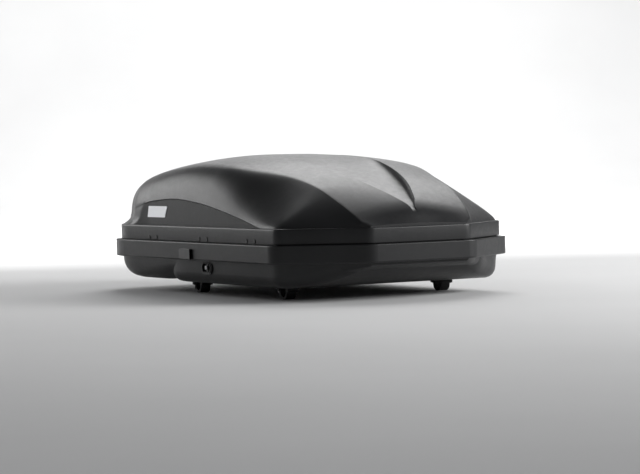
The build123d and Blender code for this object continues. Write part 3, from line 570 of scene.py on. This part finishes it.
def upper_lid():
    """Outer and inner surfaces of the upper lid, joined along the rim and the ends."""
    verts = []
    for skin in (0, SKIN):
        for index, y in enumerate([LID_YS[0]] + LID_YS + [LID_YS[-1]]):
            station = y * (1 - skin / (LENGTH / 2))
            half = lid_section(station, skin)
            row = half + [(-x, z) for x, z in reversed(half[:-1])]
            if index in (0, len(LID_YS) + 1):
                row = [(x, RIM_Z) for x, z in row]
            columns = len(row)
            verts += [(x, station, z) for x, z in row]
    rows = len(LID_YS) + 2
    faces = grid_faces(rows, columns) + grid_faces(rows, columns, rows * columns)
    inner = rows * columns
    for r in range(rows - 1):
        for c in (0, columns - 1):
            a, b = r * columns + c, (r + 1) * columns + c
            faces.append((a, b, inner + b, inner + a))
    for r in (0, rows - 1):
        for c in range(columns - 1):
            a = r * columns + c
            faces.append((a, a + 1, inner + a + 1, inner + a))
    return verts, faces


BELT_PROFILE = round_profile([
    (BELT_INSET, BELT_BOTTOM, 1.6),
    (BELT_INSET, BELT_TOP, 5),
    (UPPER_INSET + 8, BELT_TOP, 0),
    (UPPER_INSET + 8, BELT_TOP - SKIN, 0),
    (BELT_INSET + SKIN, BELT_TOP - SKIN, 2),
    (BELT_INSET + SKIN, BELT_BOTTOM, 1.2),
])
upper_verts, upper_faces = upper_lid()
lid_upper = make_piece(
    "lid_upper", upper_verts, upper_faces, SLOT_MATERIALS["shell_plastic"], "lid", 24
)
belt_verts, belt_faces = swept(BELT_PROFILE)
lid_belt = make_piece(
    "lid_belt", belt_verts, belt_faces, SLOT_MATERIALS["shell_plastic"], "lid", 50
)
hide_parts("lid_shell")
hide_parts("lid_shell")

# ------------------------------------------------------------------------------
# Studio: a pale floor that turns up into a backdrop, and soft area lights
# ------------------------------------------------------------------------------
def stage_material():
    material, tree, shader = new_material("stage_paper", Roughness=0.9)
    tone = noise_texture(tree, 0.8, 3, 0.5)
    colour = ramp(tree, tone.outputs["Fac"], [(0.3, (0.7, 0.7, 0.7)), (0.7, (0.74, 0.74, 0.74))])
    link(tree, colour, shader.inputs["Base Color"])
    return material


def make_stage():
    """A floor 30 m wide that curves up behind the object."""
    back_y, radius, height = 9.0, 4.0, 9.0
    profile = [(-14.0, 0.0)]
    profile += [(back_y + radius * math.sin(a), radius - radius * math.cos(a))
                for a in [math.radians(7.5 * i) for i in range(13)]]
    profile.append((back_y + radius, height))
    turn = Matrix.Rotation(-CAMERA_AZIMUTH, 4, "Z")
    verts = [turn @ Vector((x, y, z)) for y, z in profile for x in (-15.0, 15.0)]
    mesh = bpy.data.meshes.new("floor")
    mesh.from_pydata(verts, [], grid_faces(len(profile), 2))
    for polygon in mesh.polygons:
        polygon.use_smooth = True
    mesh.materials.append(stage_material())
    floor = bpy.data.objects.new("floor", mesh)
    bpy.context.scene.collection.objects.link(floor)


def area_light(name, location, target, size, power, colour=(1, 1, 1)):
    data = bpy.data.lights.new(name, "AREA")
    data.shape = "RECTANGLE"
    data.size, data.size_y = size
    data.energy = power
    data.color = colour
    light = bpy.data.objects.new(name, data)
    bpy.context.scene.collection.objects.link(light)
    light.location = location
    aim = Vector(target) - Vector(location)
    light.rotation_euler = aim.to_track_quat("-Z", "Y").to_euler()


make_stage()
area_light("key", (3.6, -3.2, 1.9), (0, -0.3, 0.25), (2.4, 2.0), 230)
area_light("rear_right", (3.4, 3.8, 4.4), (0, 0, 0.3), (3.8, 2.8), 68)
area_light("left", (-2.7, 5.4, 2.0), (0, 0.3, 0.25), (3.6, 2.6), 110)
area_light("top", (3.4, 4.0, 5.6), (2.6, 3.0, 0), (5.4, 4.5), 225)
area_light("backdrop", (1.5, 3.0, 4.5), (5.5, 10.0, 1.5), (7.0, 2.0), 950)
world = bpy.data.worlds.new("World")
bpy.context.scene.world = world
world.use_nodes = True
world.node_tree.nodes["Background"].inputs["Color"].default_value = (0.9, 0.92, 0.95, 1)
world.node_tree.nodes["Background"].inputs["Strength"].default_value = 0.13
bpy.context.scene.view_settings.view_transform = "Standard"
